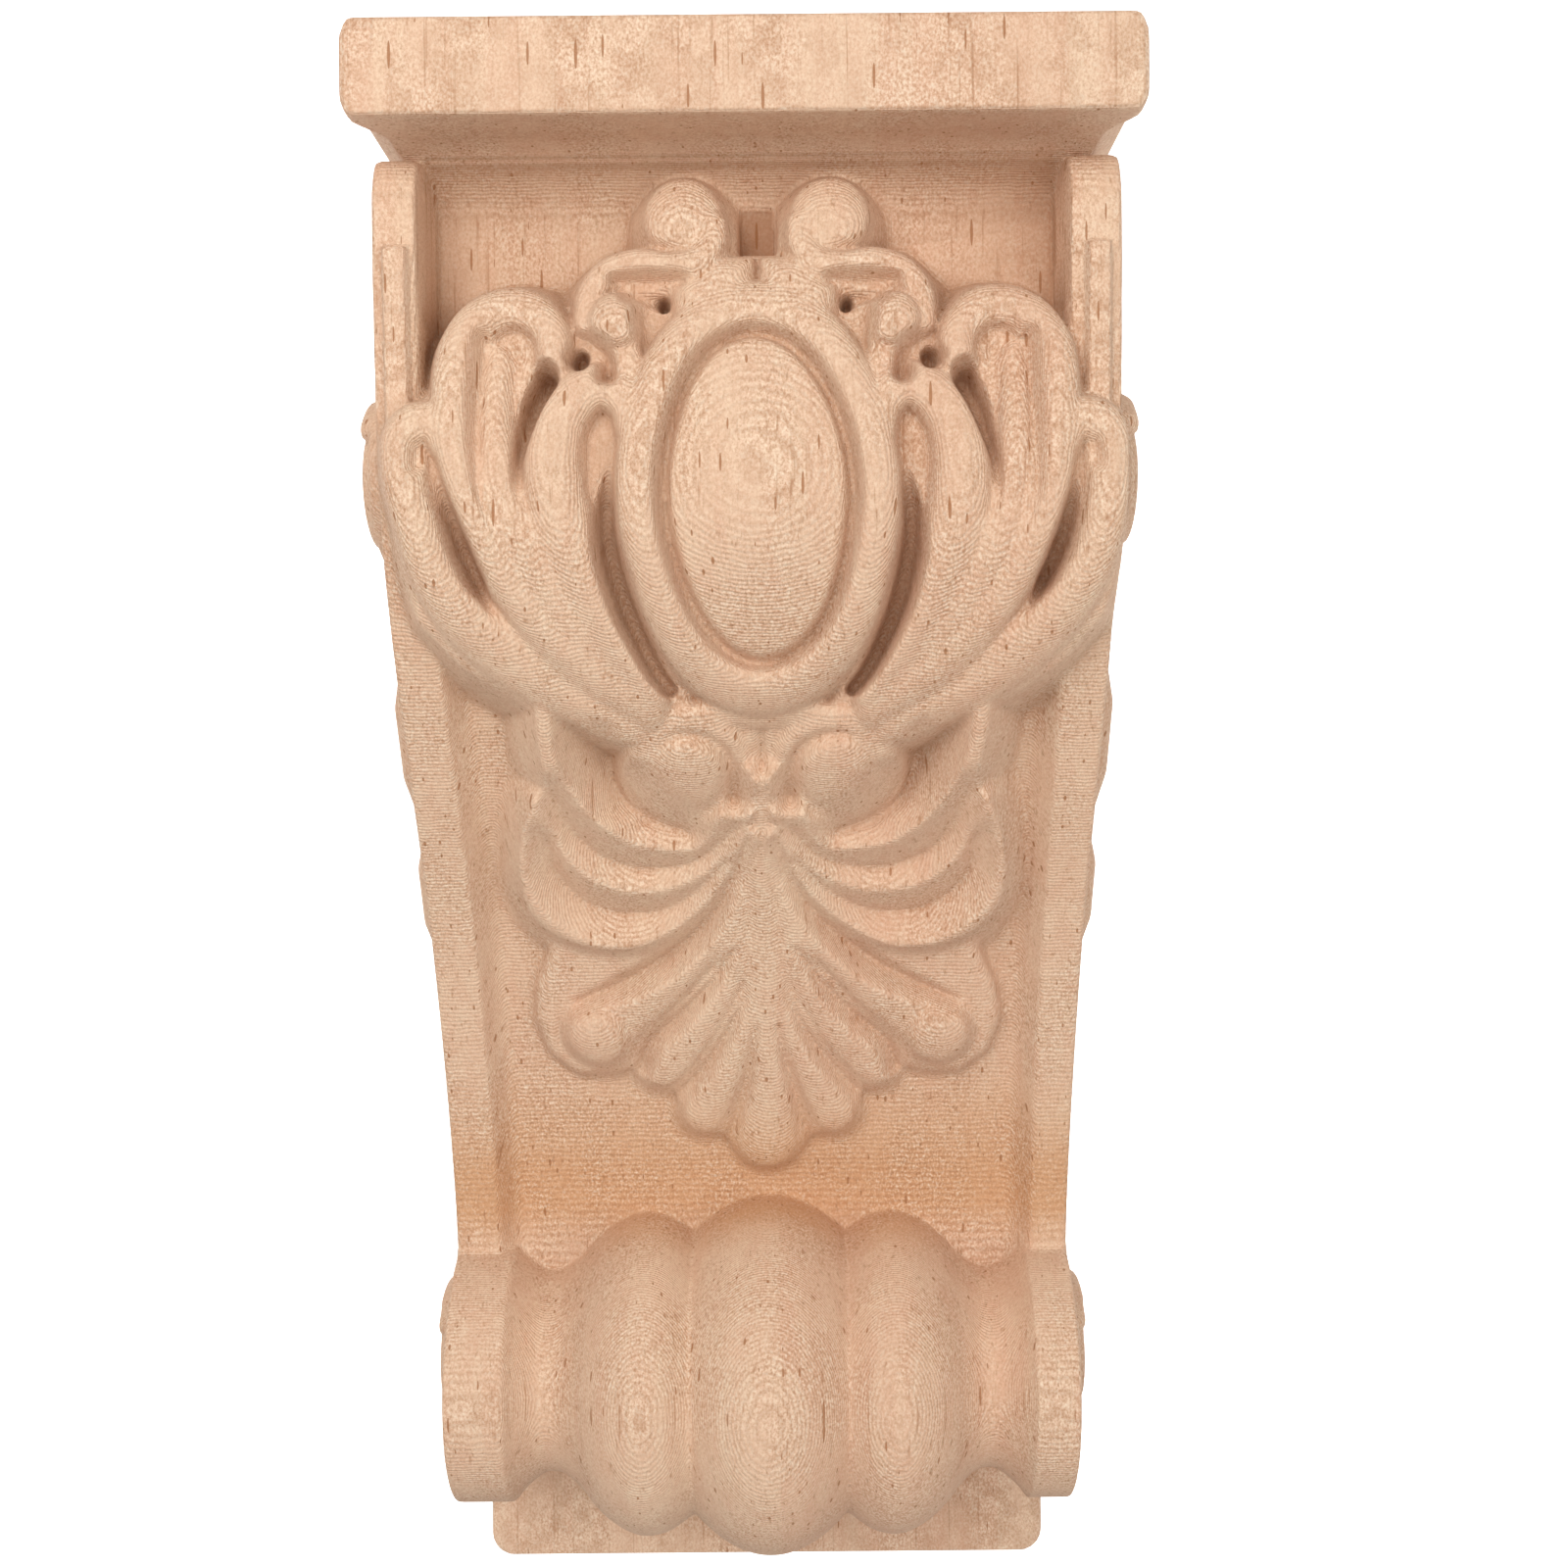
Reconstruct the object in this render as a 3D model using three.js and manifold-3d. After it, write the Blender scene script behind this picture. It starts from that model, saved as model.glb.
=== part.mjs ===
// A carved wooden corbel in one piece, in millimetres with +Z up.
// Its back is the plane y = 0, its front faces -Y, and the origin is the middle of the back.
// A depth is a distance forward from the back, so a point at a depth has y = -depth.
import * as THREE from 'three';
import { mergeVertices } from 'three/addons/utils/BufferGeometryUtils.js';
import Module from 'manifold-3d';

// Block and cap
const height = 200;
const bodyWidth = 83.8;
const capWidth = 87.2;
const capDepth = 87.3;
const capHeight = 10.6;
const capCornerRadius = 1;
const capSideCut = 3.7;
const capSideCutRise = 4.1;
const capSideCutFade = 6.5;
const plateThickness = 8;
const plateCornerRadius = 3.5;

// Cove under the cap, neck, and the tops of the side walls
const coveReach = 8.6;
const coveDrop = 7.4;
const neckDepth = 71.4;
const neckSlotWidth = 3.8;
const neckSlotHeight = 6.6;
const neckSlotSink = 3;
const wallTopGap = 1.3;
const wallTopGapReach = 1.9;
const wallTopSetBack = 2;
const tabWidth = 2.8;
const tabHeight = 24;
const tabProud = 1.2;

// Front edge of the side walls, an S curve from the roll up to the shoulder
const shoulderDepth = 79.9;
const footDepth = 33.4;
const shoulderDrop = 22.7;
const footRise = 50;

// Sunk panel between the side walls
const panelWidth = 72.9;
const panelOffset = 0.5;
const panelSink = 3;
const panelFillet = 2;

// Gadrooned roll at the foot
const rollDepth = 28.3;
const rollRise = 36;
const middleLobeRadius = 25;
const middleLobeHalf = 10.4;
const lobeValleyRadius = 19.6;
const sideLobeRadius = 22.4;
const sideLobeMiddle = 16.6;
const sideLobeFullness = 1.25;
const rollCoveRadius = 14.1;
const rollCoveMiddle = 29.7;
const rollEndRadius = 18;
const rollEndStart = 35.2;

// Carving on the front, drawn on a board of this size and stretched with the corbel
const carvingOffset = 1;
const reliefHeight = 11.2;
const board = { width: 83.8, height: 200 };

// Side faces
const fieldSink = 2.5;
const backStripWidth = 8;
const bandWidth = 6;
const stemWidth = 3.6;
const stemProud = 0.4;
const upperVoluteRadius = 10;
const upperVoluteRise = 153.7;
const upperVoluteSetBack = 4.5;
const upperVoluteProud = 3.1;
const lowerVoluteRadius = 10.4;
const lowerVoluteRise = 38.5;
const lowerVoluteProud = 2.3;
const leafProud = 2.2;

const woodColour = 0xe2bd97;
// How far a form that stands on the ground reaches into it, and how far a cut runs past the wood
const rooted = 2.5;
const overcut = 5;

const halfBody = bodyWidth / 2;
const top = height / 2;
const capUnderside = top - capHeight;
const neckTop = capUnderside - coveDrop;
const shoulder = top - shoulderDrop;
const foot = -top + footRise;
const rollHeight = -top + rollRise;

const { clamp, lerp, mapLinear, smoothstep } = THREE.MathUtils;
const wasm = await Module();
wasm.setup();

function levels(from, to, count) {
  return Array.from({ length: count + 1 }, (_, i) => lerp(from, to, i / count));
}

function solid(geometry) {
  const bare = geometry.clone();
  bare.deleteAttribute('normal');
  bare.deleteAttribute('uv');
  const welded = mergeVertices(bare);
  return new wasm.Manifold(new wasm.Mesh({
    numProp: 3,
    vertProperties: new Float32Array(welded.attributes.position.array),
    triVerts: new Uint32Array(welded.index.array),
  }));
}

function geometryOf(body) {
  const mesh = body.getMesh();
  const geometry = new THREE.BufferGeometry();
  geometry.setAttribute('position', new THREE.BufferAttribute(new Float32Array(mesh.vertProperties), 3));
  geometry.setIndex(new THREE.BufferAttribute(new Uint32Array(mesh.triVerts), 1));
  geometry.computeVertexNormals();
  return geometry;
}

function signedVolume(points, indices) {
  let sum = 0;
  for (let i = 0; i < indices.length; i += 3) {
    const [a, b, c] = indices.slice(i, i + 3).map((index) => points[index]);
    sum += a.dot(new THREE.Vector3().crossVectors(b, c));
  }
  return sum / 6;
}

// A closed solid through rings that have the same number of points, capped flat at both ends.
function loft(rings) {
  const count = rings[0].length;
  const last = (rings.length - 1) * count;
  const points = rings.flat();
  const indices = [];
  for (let start = 0; start < last; start += count) {
    for (let i = 0; i < count; i += 1) {
      const here = start + i;
      const next = start + ((i + 1) % count);
      indices.push(here, next, here + count, next, next + count, here + count);
    }
  }
  for (let i = 1; i + 1 < count; i += 1) {
    indices.push(0, i + 1, i, last, last + i, last + i + 1);
  }
  if (signedVolume(points, indices) < 0) indices.reverse();
  const geometry = new THREE.BufferGeometry();
  geometry.setAttribute('position', new THREE.Float32BufferAttribute(points.flatMap((p) => p.toArray()), 3));
  geometry.setIndex(indices);
  return solid(geometry);
}

// A prism across the corbel whose outline is given as [depth, z] pairs.
function acrossPrism(outline, fromX, toX) {
  const shape = new THREE.Shape(outline.map(([depth, z]) => new THREE.Vector2(-depth, z)));
  const geometry = new THREE.ExtrudeGeometry(shape, { depth: toX - fromX, bevelEnabled: false });
  const turn = new THREE.Matrix4().makeBasis(
    new THREE.Vector3(0, 1, 0), new THREE.Vector3(0, 0, 1), new THREE.Vector3(1, 0, 0));
  geometry.applyMatrix4(turn);
  geometry.translate(fromX, 0, 0);
  return solid(geometry);
}

// The same prism on one side face, between two distances out from the middle.
function sidePrism(side, outline, inner, outer) {
  return side > 0 ? acrossPrism(outline, inner, outer) : acrossPrism(outline, -outer, -inner);
}

// A value read along a smooth curve through [position, value] pairs.
function smoothTable(pairs) {
  const curve = new THREE.SplineCurve(pairs.map(([at, value]) => new THREE.Vector2(at, value)));
  const samples = curve.getPoints(pairs.length * 8);
  return (at) => {
    const end = samples.findIndex((sample) => sample.x >= at);
    if (end < 0) return samples[samples.length - 1].y;
    if (end === 0) return samples[0].y;
    const [before, after] = [samples[end - 1], samples[end]];
    return mapLinear(at, before.x, after.x, before.y, after.y);
  };
}

// Shares of the S curve's height and of its reach from the foot to the shoulder.
const curveShare = smoothTable([
  [0, 0], [0.1, 0.06], [0.25, 0.21], [0.4, 0.4], [0.54, 0.63], [0.68, 0.845], [0.8, 0.955], [1, 1]]);

// Where the panel starts to fall back to the neck, as a share of the S curve's height.
const neckFallStart = 0.55;

function curvePosition(z) {
  return clamp((z - foot) / (shoulder - foot), 0, 1);
}

function wallDepth(z) {
  return lerp(footDepth, shoulderDepth, curveShare(curvePosition(z)));
}

// Depth of the ground that the carving stands on.
function groundDepth(z) {
  const fall = smoothstep(curvePosition(z), neckFallStart, 1);
  return wallDepth(z) - lerp(panelSink, shoulderDepth - neckDepth, fall);
}

// Height of the carving over its ground, from the palmette's tip up to the crest.
const reliefShare = smoothTable([
  [-0.18, 0.28], [-0.05, 0.38], [0.05, 0.5], [0.13, 0.78], [0.22, 1], [0.31, 1], [0.36, 0.85], [0.42, 0.6]]);

function relief(z) {
  return reliefHeight * reliefShare(z / height);
}

// A slab with two round front corners.
function roundedSlab(halfWidth, back, front, radius, thickness) {
  const shape = new THREE.Shape();
  const centre = front + radius;
  shape.moveTo(-halfWidth, back);
  shape.lineTo(-halfWidth, centre);
  shape.absarc(-halfWidth + radius, centre, radius, Math.PI, 1.5 * Math.PI);
  shape.absarc(halfWidth - radius, centre, radius, 1.5 * Math.PI, 2 * Math.PI);
  shape.lineTo(halfWidth, back);
  return new THREE.ExtrudeGeometry(shape, { depth: thickness, bevelEnabled: false, curveSegments: 3 });
}

function cap() {
  const geometry = roundedSlab(capWidth / 2, 0, -capDepth, capCornerRadius, capHeight);
  geometry.translate(0, 0, capUnderside);
  return withCuts(solid(geometry), [-1, 1].map(capEdgeCut));
}

// The slope under each side of the cap, fading out towards its front corner.
function capEdgeCut(side) {
  const outer = capWidth / 2 + overcut;
  const rise = capSideCutRise / capSideCut;
  const below = 1;
  const ring = (depth) => {
    const inset = capSideCut * smoothstep(capDepth - depth, 0, capSideCutFade);
    const inner = capWidth / 2 - inset;
    const corners = [
      [inner - below / rise, capUnderside - below],
      [outer, capUnderside - below],
      [outer, capUnderside + rise * (outer - inner)]];
    return corners.map(([x, z]) => new THREE.Vector3(side * x, -depth, z));
  };
  return loft([-overcut, ...levels(capDepth - capSideCutFade, capDepth, 3)].map(ring));
}

function plate() {
  const geometry = roundedSlab(halfBody, capUnderside, -top, plateCornerRadius, plateThickness);
  geometry.rotateX(Math.PI / 2);
  return solid(geometry);
}

function sideWalls() {
  const inCap = capUnderside + 1;
  const outline = [
    [0, inCap],
    [neckDepth + coveReach, inCap],
    [neckDepth + coveReach, capUnderside],
    [shoulderDepth - wallTopSetBack, capUnderside - wallTopGap],
    [shoulderDepth, neckTop],
    ...levels(shoulder, foot, 14).map((z) => [wallDepth(z), z]),
    [rollDepth, foot - 1],
    [rollDepth, rollHeight],
    [0, rollHeight],
  ];
  return acrossPrism(outline, -halfBody, halfBody);
}

// Share of the cove's reach at a height between the neck and the cap.
function coveShare(z) {
  const rise = clamp((z - neckTop) / coveDrop, 0, 1);
  return 1 - Math.sqrt(1 - rise * rise);
}

// The panel, the neck and the cove above it are one hollow, cut forward out of the block.
function panelHollow() {
  const front = capDepth + overcut;
  const ring = (z) => {
    const cove = coveShare(z);
    const depth = groundDepth(z) + coveReach * cove;
    const half = lerp(panelWidth / 2, halfBody + overcut / 2, cove);
    const eased = panelFillet * (1 - Math.SQRT1_2);
    const right = [
      [half, front],
      [half, depth + panelFillet],
      [half - eased, depth + eased],
      [half - panelFillet, depth],
    ];
    const left = right.map(([x, d]) => [-x, d]).reverse();
    return [...right, ...left].map(([x, d]) => new THREE.Vector3(x + panelOffset, -d, z));
  };
  const heights = [rollHeight, ...levels(foot, shoulder, 14), ...levels(neckTop, capUnderside, 5)];
  return loft(heights.map(ring));
}

function neckSlot() {
  const floor = neckDepth - neckSlotSink;
  const slot = new THREE.BoxGeometry(neckSlotWidth, capDepth - floor, neckSlotHeight);
  slot.translate(carvingOffset, -(capDepth + floor) / 2, neckTop + neckSlotWidth / 2 - neckSlotHeight / 2);
  return solid(slot);
}

// The shadow gap between the cap and the top of each side wall.
function wallTopCut(side) {
  const outline = [
    [plateThickness, capUnderside], [capDepth + overcut, capUnderside],
    [capDepth + overcut, capUnderside - wallTopGap], [plateThickness, capUnderside - wallTopGap]];
  return sidePrism(side, outline, halfBody - wallTopGapReach, halfBody + overcut);
}

// A slim upright tab on the front of each shoulder.
function shoulderTab(side) {
  const low = shoulder - tabHeight;
  const outline = [
    [neckDepth, shoulder], [shoulderDepth + tabProud, shoulder],
    [wallDepth(low) + tabProud, low], [neckDepth, low - tabProud]];
  const outer = halfBody - tabProud;
  return sidePrism(side, outline, outer - tabWidth, outer);
}

// Radius of the roll at a distance across from its middle lobe.
function rollRadius(across) {
  const distance = Math.abs(across);
  const outFrom = (from, to) => clamp((distance - from) / (to - from), 0, 1);
  if (distance < middleLobeHalf) {
    return lerp(middleLobeRadius, lobeValleyRadius, outFrom(0, middleLobeHalf) ** 2);
  }
  if (distance < sideLobeMiddle) {
    return lerp(sideLobeRadius, lobeValleyRadius, (1 - outFrom(middleLobeHalf, sideLobeMiddle)) ** 2);
  }
  if (distance < rollCoveMiddle) {
    const turn = Math.PI * outFrom(sideLobeMiddle, rollCoveMiddle) ** sideLobeFullness;
    return lerp(sideLobeRadius, rollCoveRadius, (1 - Math.cos(turn)) / 2);
  }
  return lerp(rollCoveRadius, rollEndRadius, outFrom(rollCoveMiddle, rollEndStart) ** 2);
}

// The roll is round in front and runs straight back to the plate below.
function roll() {
  const root = plateThickness / 2;
  const ring = (x) => {
    const radius = rollRadius(x - carvingOffset);
    const front = levels(0.62 * Math.PI, -0.5 * Math.PI, 12).map((angle) => [
      rollDepth + radius * Math.cos(angle), rollHeight + radius * Math.sin(angle)]);
    const back = [[root, rollHeight - radius], [root, rollHeight]];
    return [...front, ...back].map(([depth, z]) => new THREE.Vector3(x, -depth, z));
  };
  return loft(levels(-halfBody, halfBody, 32).map(ring));
}

function boardPoint([u, v]) {
  return new THREE.Vector2((u * bodyWidth) / board.width, (v * height) / board.height);
}

// A point of the carving at a share of the relief's height, or rooted in the ground under it.
function carved(side, x, z, lift, lower = 0) {
  const depth = lift === null ? groundDepth(z) - rooted : groundDepth(z) + relief(z) * lift - lower;
  return new THREE.Vector3(side * x + carvingOffset, -depth, z);
}

// A rounded ridge along a drawn line, its half width running through the given values.
function ridge(side, drawn, halfWidths, { lift = 1, steps = drawn.length } = {}) {
  const spots = drawn.map(boardPoint).map((spot) => new THREE.Vector3(spot.x, 0, spot.y));
  const line = new THREE.CatmullRomCurve3(spots, false, 'centripetal');
  const halfWidthAt = (t) => {
    const at = t * (halfWidths.length - 1);
    const low = Math.min(Math.floor(at), halfWidths.length - 2);
    return lerp(halfWidths[low], halfWidths[low + 1], at - low);
  };
  const ring = (t, { beyond = 0, spread = 1, drop = 0 } = {}) => {
    const along = line.getTangentAt(t);
    const half = halfWidthAt(t);
    const middle = line.getPointAt(t).addScaledVector(along, beyond * half);
    const crown = Math.min(half * 0.9, relief(middle.z) * lift * 0.36);
    const section = [[-1, null], [-0.9, crown], [0, 0], [0.9, crown], [1, null]];
    return section.map(([share, lower]) => {
      const x = middle.x - along.z * half * spread * share;
      const z = middle.z + along.x * half * spread * share;
      return lower === null ? carved(side, x, z, null) : carved(side, x, z, lift, lower + drop * crown);
    });
  };
  const rounded = { spread: 0.5, drop: 0.6 };
  return loft([
    ring(0, { ...rounded, beyond: -0.8 }),
    ...levels(0, 1, steps).map((t) => ring(t)),
    ring(1, { ...rounded, beyond: 0.8 }),
  ]);
}

// A flat mass under a group of ridges, its outline drawn on the board.
function mass(side, drawn, lift) {
  const outline = drawn.map(boardPoint).map((spot) => new THREE.Vector2(side * spot.x, spot.y));
  const geometry = new THREE.ExtrudeGeometry(new THREE.Shape(outline), { depth: 1, bevelEnabled: false });
  geometry.rotateX(Math.PI / 2);
  const spots = geometry.attributes.position;
  for (let i = 0; i < spots.count; i += 1) {
    const z = spots.getZ(i);
    const isFront = spots.getY(i) < -0.5;
    spots.setXYZ(i, ...carved(1, spots.getX(i), z, isFront ? lift : null).toArray());
  }
  return solid(geometry);
}

// A round or oval boss with a domed top.
function boss(side, middle, [radiusAcross, radiusUp], { lift = 1, crown = 1.5, sides = 10 } = {}) {
  const centre = boardPoint(middle);
  const ring = (size, share, lower) => levels(0, 2 * Math.PI, sides).slice(1).map((angle) => carved(
    side, centre.x + radiusAcross * size * Math.cos(angle), centre.y + radiusUp * size * Math.sin(angle),
    share, lower));
  return loft([ring(1, null), ring(0.96, lift, crown), ring(0.7, lift, crown * 0.4), ring(0.3, lift, 0)]);
}

// The oval in the middle, with a rounded rim drawn as two half rings.
function oval() {
  const middle = [0, 49.2];
  const [rimAcross, rimUp] = [11, 21.2];
  const halfRing = levels(-0.53 * Math.PI, 0.53 * Math.PI, 11).map((angle) => [
    middle[0] + rimAcross * Math.cos(angle), middle[1] + rimUp * Math.sin(angle)]);
  const rim = [-1, 1].map((side) => ridge(side, halfRing, [2.3, 2, 2.3], { lift: 1.1 }));
  return [...rim, boss(1, middle, [10, 19], { crown: 1.2, sides: 18 })];
}

function spiral(side, [u, v], radius, lift) {
  const turn = levels(0.15 * Math.PI, 1.9 * Math.PI, 10).map((angle) => [
    u + radius * Math.cos(angle), v + radius * Math.sin(angle)]);
  const halfWidth = radius / 3;
  return [
    ridge(side, turn, [halfWidth, halfWidth], { lift, steps: 8 }),
    boss(side, [u, v], [radius * 0.72, radius * 0.72], { lift: lift * 0.95 }),
  ];
}

// Two spirals at the top, their stems curling down to a small boss.
function crest(side) {
  return [
    mass(side, [[4, 76.5], [9.5, 75.4], [15, 76.2], [19.6, 73], [19.8, 67], [16.6, 61.5], [12.4, 61],
      [10.6, 68], [5, 74]], 0.6),
    ...spiral(side, [7.5, 79.8], 3.4, 1),
    ridge(side, [[4.6, 77.4], [6, 74.9], [9.5, 74.6], [14.5, 75], [17.9, 73.2], [18.6, 69.5]], [1.4, 1.7]),
    boss(side, [14.7, 68.9], [2.9, 2.9]),
  ];
}

// Each plume is a pair of ridges that hook over at the top and gather below the oval.
function innerPlume(side) {
  return [
    ridge(side, [[13.6, 58.4], [14.8, 61], [17.8, 61.5], [21.2, 59.6], [22.7, 54], [22, 45.5], [18.3, 36.5],
      [11.3, 26.5]], [1.8, 2.2, 2]),
    ridge(side, [[18.2, 57.5], [19.5, 53], [19.4, 47], [17, 38.5], [11, 27.5]], [1.6, 2.2, 1.8]),
  ];
}

function middlePlume(side) {
  return [
    ridge(side, [[20.2, 65], [21.2, 68.3], [24.6, 70.6], [29.4, 69.8], [32.9, 65.3], [33.6, 59], [31.8, 51],
      [28, 43.5], [21.5, 34.5], [13.5, 26]], [1.8, 2.5, 2.2]),
    ridge(side, [[25.6, 65.5], [28.8, 60], [29.6, 52.5], [27.2, 45], [21.5, 36.5], [12.8, 26.8]],
      [1.8, 2.5, 2]),
  ];
}

function outerPlume(side) {
  return [
    ridge(side, [[34.8, 54.6], [36.4, 56.7], [38.8, 55.7], [39.4, 51], [38.7, 44], [36, 37.2], [30.6, 30.8],
      [24, 26.3], [15, 22.8]], [1.6, 2.2, 2.2], { lift: 0.9 }),
    ridge(side, [[33.4, 52.5], [32.6, 46.5], [30, 40.3], [25.8, 34.2], [20.5, 29.3], [13.6, 24.6]],
      [1.6, 2.4, 2.2], { lift: 0.95 }),
  ];
}

// Curved leaves on each side of the palmette, the lowest one last.
function palmetteLeaves(side) {
  return [
    ridge(side, [[2, 11.9], [10.3, 8.9], [17.6, 9.8], [22.4, 13.4], [24.4, 18.5], [25.6, 23.8]],
      [1.8, 2.3, 1.6]),
    ridge(side, [[1.6, 9.8], [9, 4.6], [16.6, 3.2], [22.4, 5.7], [25.6, 10.4], [26, 14.4]], [1.8, 2.4, 1.6]),
    ridge(side, [[1.4, 7.6], [6, 2.6], [13.4, -1.9], [20.9, -1.5], [26.6, 1.2], [29, 6], [28.7, 10]],
      [1.8, 2.5, 1.6]),
  ];
}

// The straight lobes of the palmette, fanning out to a scalloped lower edge.
function palmetteLobes(side) {
  return [
    mass(side, [[0, 11], [9, 7], [23, 4], [27, -3], [30, -9.5], [30.6, -14], [28.4, -19], [24.4, -21.4],
      [18.4, -20.6], [14.6, -22.8], [12.4, -26.5], [9.5, -30], [5.6, -30.8], [3.2, -34.6], [0, -35]], 0.5),
    ridge(side, [[1.8, 4.6], [8.8, -4.2], [15.4, -10.2], [21.6, -14.6]], [1.8, 2.6, 4.2], { steps: 5 }),
    boss(side, [22.6, -15.4], [4.3, 4], { lift: 1.3 }),
    ridge(side, [[1.2, -2.8], [7, -10.8], [11.4, -16.8], [13.2, -19.4]], [1.6, 2.6, 2.8]),
    ridge(side, [[1, -8], [4.8, -17.6], [7.8, -25.6]], [1.4, 2.6, 3], { steps: 4 }),
  ];
}

function carving() {
  const forms = [-1, 1].flatMap((side) => [
    ...crest(side),
    ...innerPlume(side),
    ...middlePlume(side),
    ...outerPlume(side),
    ...spiral(side, [8.5, 18.7], 5, 0.95),
    ...palmetteLeaves(side),
    ...palmetteLobes(side),
  ]);
  const middleLobe = ridge(1, [[0, 14], [0, -8], [0, -22], [0, -31.4]], [2.2, 1.8, 3.2, 4],
    { lift: 1.05, steps: 6 });
  return [...forms, ...oval(), middleLobe];
}

const upperVolute = {
  depth: shoulderDepth - upperVoluteRadius - upperVoluteSetBack,
  z: -top + upperVoluteRise,
  radius: upperVoluteRadius,
  proud: upperVoluteProud,
};
const lowerVolute = {
  depth: rollDepth,
  z: -top + lowerVoluteRise,
  radius: lowerVoluteRadius,
  proud: lowerVoluteProud,
};

// A turned disc with a domed eye, standing on a side face.
function volute(side, { depth, z, radius, proud }) {
  const root = -fieldSink - 1;
  const eye = radius * 0.55;
  const disc = [[0, root], [radius, root], [radius, 0], [radius * 0.93, proud * 0.7]];
  const groove = [[eye * 1.3, proud * 0.75], [eye * 1.12, proud * 0.3], [eye, proud * 0.3]];
  const profile = [...disc, ...groove, [eye * 0.55, proud * 0.85], [0, proud]];
  const geometry = new THREE.LatheGeometry(profile.map(([r, out]) => new THREE.Vector2(r, out)), 14);
  geometry.rotateZ(-side * (Math.PI / 2));
  geometry.translate(side * halfBody, -depth, z);
  return solid(geometry);
}

// The field of a side face, sunk behind a band along the front and a plain strip along the back.
function sideField(side) {
  const back = plateThickness + backStripWidth;
  const high = neckTop - bandWidth;
  const low = foot + bandWidth;
  const outline = [
    [back, high], [shoulderDepth - bandWidth, high],
    ...levels(upperVolute.z, low, 12).map((z) => [wallDepth(z) - bandWidth, z]),
    [back, low]];
  return sidePrism(side, outline, halfBody - fieldSink, halfBody + overcut);
}

// A raised strip on a side face. Its section is a list of [share of the half width, distance out].
function sideStrip(side, middles, halfWidths, section) {
  const rings = middles.map((middle, i) => {
    const ahead = middles[Math.min(i + 1, middles.length - 1)];
    const behind = middles[Math.max(i - 1, 0)];
    const along = ahead.clone().sub(behind).normalize();
    const across = new THREE.Vector2(-along.y, along.x).multiplyScalar(halfWidths[i]);
    return section(i).map(([share, out]) => {
      const at = middle.clone().addScaledVector(across, share);
      return new THREE.Vector3(side * (halfBody + out), -at.x, at.y);
    });
  });
  return loft(rings);
}

// A slim stem behind the front band, from the upper volute down to the roll.
function sideStem(side) {
  const root = -fieldSink - 1;
  const behindFront = bandWidth * 3;
  const heights = levels(upperVolute.z, foot, 9);
  const middles = heights.map((z) => new THREE.Vector2(wallDepth(z) - behindFront, z));
  const halfWidths = middles.map(() => stemWidth / 2);
  const section = [[-1, root], [-0.7, stemProud], [0.7, stemProud], [1, root]];
  return sideStrip(side, middles, halfWidths, () => section);
}

// A leaf lobe between two heights, swelling from its stem to a blunt lower end.
function sideLeaf(side, [high, low], halfWidth) {
  const root = -fieldSink - 1;
  const behindFront = bandWidth * 1.5;
  const shares = levels(0, 1, 5);
  const middles = shares.map((share) => {
    const z = lerp(high, low, share);
    return new THREE.Vector2(wallDepth(z) - behindFront, z);
  });
  const swell = (share) => 0.25 + 0.75 * Math.sin(Math.PI * (0.12 + 0.62 * share));
  const halfWidths = shares.map((share) => halfWidth * swell(share));
  return sideStrip(side, middles, halfWidths, (i) => {
    const proud = leafProud * Math.sin(Math.PI * (0.1 + 0.6 * shares[i]));
    return [[-1, root], [-0.8, proud * 0.4], [0, proud], [0.8, proud * 0.4], [1, root]];
  });
}

function sideRelief(side) {
  return [
    sideStem(side),
    sideLeaf(side, [height * 0.18, height * 0.06], 4.6),
    sideLeaf(side, [height * 0.07, -height * 0.03], 4.2),
    sideLeaf(side, [-height * 0.01, -height * 0.12], 3.8),
    volute(side, upperVolute),
    volute(side, lowerVolute),
  ];
}

function withForms(body, forms) {
  return forms.reduce((sum, form) => sum.add(form), body);
}

function withCuts(body, cuts) {
  return cuts.reduce((rest, cut) => rest.subtract(cut), body);
}

function corbel() {
  const sides = [-1, 1];
  let body = withCuts(plate().add(sideWalls()), [panelHollow()]);
  body = withForms(body, [cap(), roll(), ...sides.map(shoulderTab)]);
  body = withCuts(body, [...sides.map(wallTopCut), ...sides.map(sideField)]);
  body = withForms(body, carving());
  body = withCuts(body, [neckSlot()]);
  body = withForms(body, sides.flatMap(sideRelief));
  return geometryOf(body);
}

const material = new THREE.MeshStandardMaterial({ color: woodColour, roughness: 0.8, metalness: 0 });
const piece = new THREE.Mesh(corbel(), material);
piece.name = 'corbel';

const group = new THREE.Group();
group.add(piece);

export default group;
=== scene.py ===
"""Looks for a carved wooden corbel: one closed carved mesh, its wood, a plain studio and a camera.

Sizes are in millimetres unless a name ends in _m, and the mesh is turned into metres at the end.
x runs across the corbel and z up. A depth runs forward from the wall, so a point has y = -depth.
u is the distance across from the middle line of the carving, the same on both sides.
"""
import math

import bpy
import numpy as np
import openvdb
from mathutils import Matrix, Vector


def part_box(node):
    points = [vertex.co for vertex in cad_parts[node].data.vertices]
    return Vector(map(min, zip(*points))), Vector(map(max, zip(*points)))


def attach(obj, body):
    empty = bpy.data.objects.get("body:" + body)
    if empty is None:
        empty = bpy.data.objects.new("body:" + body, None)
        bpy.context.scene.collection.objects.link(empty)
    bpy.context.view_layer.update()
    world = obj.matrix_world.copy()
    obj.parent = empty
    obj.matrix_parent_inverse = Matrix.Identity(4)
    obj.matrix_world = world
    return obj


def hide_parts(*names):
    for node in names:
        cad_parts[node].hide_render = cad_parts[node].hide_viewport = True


MM = 0.001

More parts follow.
